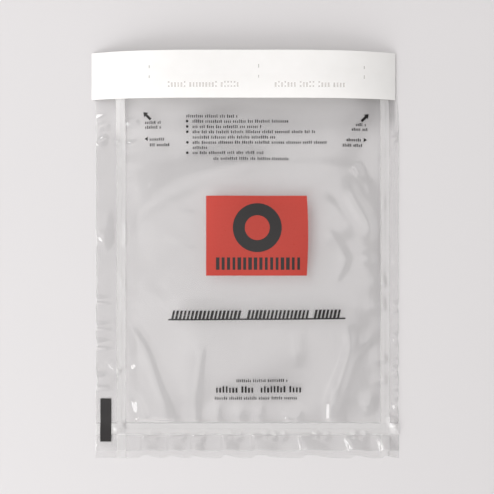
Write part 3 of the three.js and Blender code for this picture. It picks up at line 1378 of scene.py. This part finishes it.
def run_group(
    name: str,
    mesh: bpy.types.Mesh,
    tree: bpy.types.NodeTree,
    values: dict[str, object],
    material: bpy.types.Material,
) -> bpy.types.Object:
    """Runs a Geometry Nodes tree on a mesh and keeps the result as a plain mesh.

    Args:
        name: The new object's name.
        mesh: What the tree starts from.
        tree: The tree.
        values: Input name to its value.
        material: The result's material.

    Returns:
        The new object.
    """
    carrier = new_object(name + "_points", mesh, material)
    modifier = carrier.modifiers.new("nodes", "NODES")
    modifier.node_group = tree
    for item in tree.interface.items_tree:
        if item.in_out == "INPUT" and item.name in values:
            modifier[item.identifier] = values[item.name]
    bpy.context.view_layer.update()
    evaluated = carrier.evaluated_get(bpy.context.evaluated_depsgraph_get())
    made = bpy.data.meshes.new_from_object(evaluated)
    bpy.data.objects.remove(carrier)
    made.name = name
    return new_object(name, made, material)


@dataclass
class WeldRibs:
    """The fine ribs that the sealing jaws press into the welds, made by Geometry Nodes."""

    shape: BagShape
    film: bpy.types.Object
    width: float = 0.9 * MM
    thickness: float = 0.03 * MM
    clearance: float = 0.03 * MM
    step: float = 2.5 * MM  # from one point along a rib to the next
    ribs: int = 3  # in a weld
    top_gap: float = 0.5 * MM  # from the ribs to the liner
    end_gap: float = 3 * MM  # from the ribs to the film's sides
    finish: ClearFilm = ClearFilm("embossed_polythene_weld", "#ffffff", index=1.2, roughness=0.2, haze=0.05)

    def build(self) -> list[bpy.types.Object]:
        """Makes the ribs of each weld.

        Returns:
            The three pieces.
        """
        s = self.shape
        material = self.finish.make()
        bottom, top = s.skirt_top, s.liner_low - self.top_gap
        long, tall = s.right - s.left, top - bottom
        middle_x, middle_y = (s.left + s.right) / 2, (bottom + top) / 2
        welds = {
            "left_weld_ribs": (s.weld_left, s.weld, middle_y, tall, False),
            "right_weld_ribs": (s.pouch_right, s.weld, middle_y, tall, False),
            "bottom_weld_ribs": (s.skirt_top, s.bottom_weld, middle_x, long - 2 * self.end_gap, True),
        }
        made = []
        tree = self.tree()
        for name, (edge, wide, middle, length, level) in welds.items():
            pitch = (wide - self.width) / (self.ribs - 1)
            first = edge + self.width / 2
            start = (middle, first, 0) if level else (first, middle, 0)
            step = (0, pitch, 0) if level else (pitch, 0, 0)
            size = (length, self.width, self.thickness) if level else (self.width, length, self.thickness)
            count = max(2, round(length / self.step))
            values = {
                "First rib": start,
                "Step": step,
                "Ribs": self.ribs,
                "Rib size": size,
                "Points along X": count if level else 2,
                "Points along Y": 2 if level else count,
                "Sheet": self.film,
                "Clearance": self.clearance,
                "Finish": material,
            }
            made.append(run_group(name, bpy.data.meshes.new(name), tree, values, material))
        return made

    def tree(self) -> bpy.types.NodeTree:
        """The node tree: long slabs side by side, laid on the film.

        Returns:
            The tree.
        """
        sockets = {
            "First rib": "Vector",
            "Step": "Vector",
            "Ribs": "Int",
            "Rib size": "Vector",
            "Points along X": "Int",
            "Points along Y": "Int",
        }
        tree, given = new_group("ribs_on_film", sockets)
        line = add_node(
            tree,
            "GeometryNodeMeshLine",
            {"Count": given["Ribs"], "Start Location": given["First rib"], "Offset": given["Step"]},
        )
        slab = add_node(
            tree,
            "GeometryNodeMeshCube",
            {
                "Size": given["Rib size"],
                "Vertices X": given["Points along X"],
                "Vertices Y": given["Points along Y"],
            },
        )
        placed = add_node(
            tree,
            "GeometryNodeInstanceOnPoints",
            {"Points": line.outputs[0], "Instance": slab.outputs["Mesh"]},
        )
        place = place_of(tree)
        lay_on_sheet(tree, given, placed.outputs[0], place[0], place)
        return tree


@dataclass
class Printing:
    """What is printed on the film and on the liner: a red panel, a plain sign, marks and small print."""

    shape: BagShape
    film: bpy.types.Object
    liner: bpy.types.Object
    thickness: float = 0.02 * MM
    clearance: float = 0.02 * MM
    step: float = 1.0 * MM
    ring_sides: int = 72
    dot_sides: int = 20
    red: Ink = Ink("red_flexo_ink", "#e65e50", cover=0.5, roughness=0.3, uneven=0.1)
    black: Ink = Ink("black_flexo_ink", "#151011", cover=0.97, roughness=0.35, uneven=0.04)
    ghost: Ink = Ink("pale_grey_ink", "#efedeb", cover=0.55, roughness=0.5)

    def build(self) -> list[bpy.types.Object]:
        """Makes every printed piece.

        Returns:
            The pieces.
        """
        red, black, ghost = self.red.make(), self.black.make(), self.ghost.make()
        return [
            # the red panel's bowed right edge is painted shadow
            self.patch("red_panel", (206, 307), (195.6, 275.7), red, shadow_bulge=1.2),
            self.patch("heading_rule", (168, 346), (319.2, 320.7), black, lean=-1.2),
            self.patch("registration_mark", (100.4, 111.2), (398.4, 441.4), black, height=0.5 * MM, layer=3),
            self.ring("sign_ring", (257.3, 227.6), 12.5, 24.5, black, layer=2),
            *self.marks(black),
            Strokes("small_print", SMALL_PRINT, black, self.film).build(),
            Strokes("heading_bars", HEADINGS, black, self.film, seed=3).build(),
            Strokes("panel_bars", PANEL_BARS, black, self.film, clearance=0.06 * MM, seed=5).build(),
            Strokes("liner_print", GHOST_PRINT, ghost, self.liner, height=self.shape.bow, seed=9).build(),
        ]

    def patch(
        self,
        name: str,
        columns: tuple[float, float],
        rows: tuple[float, float],
        ink: bpy.types.Material,
        height: float | None = None,
        lean: float = 0.0,
        shadow_bulge: float = 0.0,
        layer: int = 0,
    ) -> bpy.types.Object:
        """A printed rectangle that follows the film.

        Args:
            name: The piece's name.
            columns: Its left and right edges, in pixels.
            rows: Its top and bottom edges.
            ink: Its material.
            height: The film's height there.
            lean: How far its right end lies below its left one, in pixels.
            shadow_bulge: How far the middle of its right edge stands out, in pixels; that bowed sliver of
                red ink is painted shadow, following the panel's own reddish shadow.
            layer: How many inks deep the film is covered under it.

        Returns:
            The object.
        """
        xs = stations([VIEW.x(columns[0], height), VIEW.x(columns[1], height)], self.step)
        ys = stations([VIEW.y(rows[1], height), VIEW.y(rows[0], height)], self.step)
        x, y = np.meshgrid(xs, ys)
        from_left = (x - xs[0]) / (xs[-1] - xs[0])
        # the right edge bows out: that sliver of red ink is painted shadow, where the panel's reddish shadow
        # lies
        x = x + shadow_bulge * VIEW.scale(height) * from_left**3 * crown(y, ys[0], ys[-1], 2)
        y = y - lean * VIEW.scale(height) * (x - xs[0]) / (xs[-1] - xs[0])
        under = self.shape.front_top(x, y) + self.clearance + layer * (self.clearance + self.thickness)
        return shell(name, x, y, under, self.thickness, ink)

    def ring(
        self,
        name: str,
        centre: tuple[float, float],
        inner: float,
        outer: float,
        ink: bpy.types.Material,
        layer: int = 1,
    ) -> bpy.types.Object:
        """A printed ring that follows the film.

        Args:
            name: The piece's name.
            centre: Its centre, in pixels.
            inner: Its inner radius, in pixels.
            outer: Its outer radius.
            ink: Its material.
            layer: How many inks deep it lies.

        Returns:
            The object.
        """
        turns = np.linspace(0, 2 * math.pi, self.ring_sides, endpoint=False)
        radii = stations([outer * VIEW.scale(), inner * VIEW.scale()], self.step)
        angle, radius = np.meshgrid(turns, radii)
        middle_x, middle_y = VIEW.at(*centre)
        x, y = middle_x + radius * np.cos(angle), middle_y + radius * np.sin(angle)
        under = self.shape.front_top(x, y) + layer * (self.clearance + self.thickness)
        return shell(name, x, y, under, self.thickness, ink, ring=True)

    def marks(self, ink: bpy.types.Material) -> list[bpy.types.Object]:
        """The bullets, the arrows and the small triangles.

        Args:
            ink: Their material.

        Returns:
            The pieces.
        """
        bullets = [self.disc(f"bullet_{i + 1}", (187, row), 1.3, ink) for i, row in enumerate(BULLET_ROWS)]
        arrow = ((0, 0), (5, 0.6), (3.7, 1.9), (8, 6.2), (6.2, 8), (1.9, 3.7), (0.6, 5))
        left = [(143.2 + a, 112 + b) for a, b in arrow]
        right = [(369.3 - a, 113.5 + b) for a, b in arrow]
        return [
            *bullets,
            self.plate("arrow_left", left, ink),
            self.plate("arrow_right", right, ink),
            self.plate("pointer_left", [(143.6, 138), (147, 135.9), (147, 140.1)], ink),
            self.plate("pointer_right", [(368.2, 139), (364.8, 136.9), (364.8, 141.1)], ink),
        ]

    def disc(
        self, name: str, centre: tuple[float, float], radius: float, ink: bpy.types.Material
    ) -> bpy.types.Object:
        """A small printed dot.

        Args:
            name: The piece's name.
            centre: Its middle, in pixels.
            radius: Its radius.
            ink: Its material.

        Returns:
            The object.
        """
        turns = [2 * math.pi * k / self.dot_sides for k in range(self.dot_sides)]
        outline = [(centre[0] + radius * math.cos(t), centre[1] + radius * math.sin(t)) for t in turns]
        return self.plate(name, outline, ink)

    def plate(self, name: str, outline: Points, ink: bpy.types.Material) -> bpy.types.Object:
        """A small printed shape.

        Args:
            name: The piece's name.
            outline: Its corners in pixels.
            ink: Its material.

        Returns:
            The object.
        """
        flat = np.array([VIEW.at(*p) for p in outline])
        turned = np.roll(flat, -1, 0)
        if (flat[:, 0] * turned[:, 1] - turned[:, 0] * flat[:, 1]).sum() < 0:
            flat = flat[::-1]
        count = len(flat)
        low = self.shape.front_top(flat[:, 0], flat[:, 1]) + self.clearance
        corners = [(x, y, z + self.thickness) for (x, y), z in zip(flat, low)]
        corners += [(x, y, z) for (x, y), z in zip(flat, low)]
        faces = [tuple(range(count)), tuple(range(2 * count - 1, count - 1, -1))]
        faces += [(k + count, (k + 1) % count + count, (k + 1) % count, k) for k in range(count)]
        mesh = bpy.data.meshes.new(name)
        mesh.from_pydata(corners, [], faces)
        return new_object(name, mesh, ink)


# The table and the light.


@dataclass(frozen=True)
class SoftBox:
    """A square light that faces the bag: where it hangs, its side, and its power in watts."""

    name: str
    place: tuple[float, float, float]
    side: float
    power: float

    def hang(self) -> None:
        """Makes the light."""
        data = bpy.data.lights.new(self.name, "AREA")
        data.size, data.energy = self.side, self.power
        lamp = bpy.data.objects.new(self.name, data)
        lamp.location = self.place
        lamp.rotation_mode = "QUATERNION"
        lamp.rotation_quaternion = Vector(self.place).to_track_quat("Z", "Y")
        bpy.context.scene.collection.objects.link(lamp)


@dataclass
class Studio:
    """The table under the bag, and the lights of a small studio.

    Each lobe of the room's light says where it starts and ends, as a cosine, and how much it adds.
    """

    table_size: float = 3.0
    table_drop: float = 0.05 * MM  # how far the table lies below the bag
    world: str = "#fffdfc"
    bright_side: tuple[float, float, float] = (-0.9, -0.44, 0.0)
    dark: float = 0.05
    overhead: tuple[float, float, float] = (0.84, 0.975, 1.36)
    to_bright: tuple[float, float, float] = (0.12, 0.5, 1.3)
    from_bright: tuple[float, float, float] = (0.55, 0.95, -1.1)
    to_horizon: tuple[float, float, float] = (-0.7, -0.3, 0.65)
    boxes: tuple[SoftBox, ...] = (
        SoftBox("key", Lamp.KEY.value, 0.8, 9.2),
        SoftBox("fill", (-0.88, 1.05, 1.1), 1.8, 2.4),
        SoftBox("window", Lamp.WINDOW.value, 0.4, 3.4),
    )

    def build(self) -> None:
        """Makes the table, the world and the lights."""
        half = self.table_size / 2
        mesh = bpy.data.meshes.new("table_top")
        corners = [(-half, -half, 0), (half, -half, 0), (half, half, 0), (-half, half, 0)]
        mesh.from_pydata(corners, [], [(0, 1, 2, 3)])
        table = new_object("table_top", mesh, TableTop().make())
        table.location.z = -self.table_drop
        table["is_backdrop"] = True
        bpy.context.scene.world = self.room()
        for box in self.boxes:
            box.hang()

    def room(self) -> bpy.types.World:
        """The room around the bag: bright to the lower left, dark to the upper right.

        Returns:
            The world.
        """
        world = bpy.data.worlds.new("room")
        world.use_nodes = True
        tree = world.node_tree
        tree.nodes.clear()
        way = add_node(tree, "ShaderNodeTexCoord").outputs["Generated"]
        lean, down, up = (
            add_node(tree, "ShaderNodeVectorMath", {0: way, 1: side}, operation="DOT_PRODUCT").outputs[1]
            for side in (self.bright_side, (0, 0, -1), (0, 0, 1))
        )
        light = self.dark
        steps = (
            (up, self.overhead), (lean, self.to_bright), (lean, self.from_bright), (down, self.to_horizon),
        )
        for value, (start, end, more) in steps:
            step = add_node(
                tree,
                "ShaderNodeMapRange",
                {"Value": value, "From Min": start, "From Max": end, "To Min": 0.0, "To Max": more},
                interpolation_type="SMOOTHSTEP",
            ).outputs["Result"]
            light = add_node(tree, "ShaderNodeMath", {0: light, 1: step}, operation="ADD").outputs[0]
        background = add_node(
            tree, "ShaderNodeBackground", {"Color": linear(self.world), "Strength": light}
        )
        add_node(tree, "ShaderNodeOutputWorld", {"Surface": background.outputs[0]})
        return world


def main() -> None:
    """Builds the bag, the table and the lights, and reports each piece."""
    logging.basicConfig(level=logging.INFO, format="%(name)s: %(message)s")
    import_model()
    VIEW.camera()
    shape = BagShape()
    webs = Webs(shape).build()
    covered = MouthStrip(shape).build()
    bpy.context.view_layer.update()
    ribs = WeldRibs(shape, webs["front_film"]).build()
    prints = Printing(shape, webs["front_film"], covered["release_liner_strip"]).build()
    for piece in [*ribs, *prints]:
        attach(piece, "root")
    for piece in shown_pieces():
        LOG.info("%s: %d faces", piece.name, len(piece.data.polygons))
    Studio().build()
    bpy.context.scene.view_settings.view_transform = "Standard"
    bpy.context.scene.cycles.transparent_max_bounces = CLEAR_LAYERS


if __name__ == "__main__":
    main()
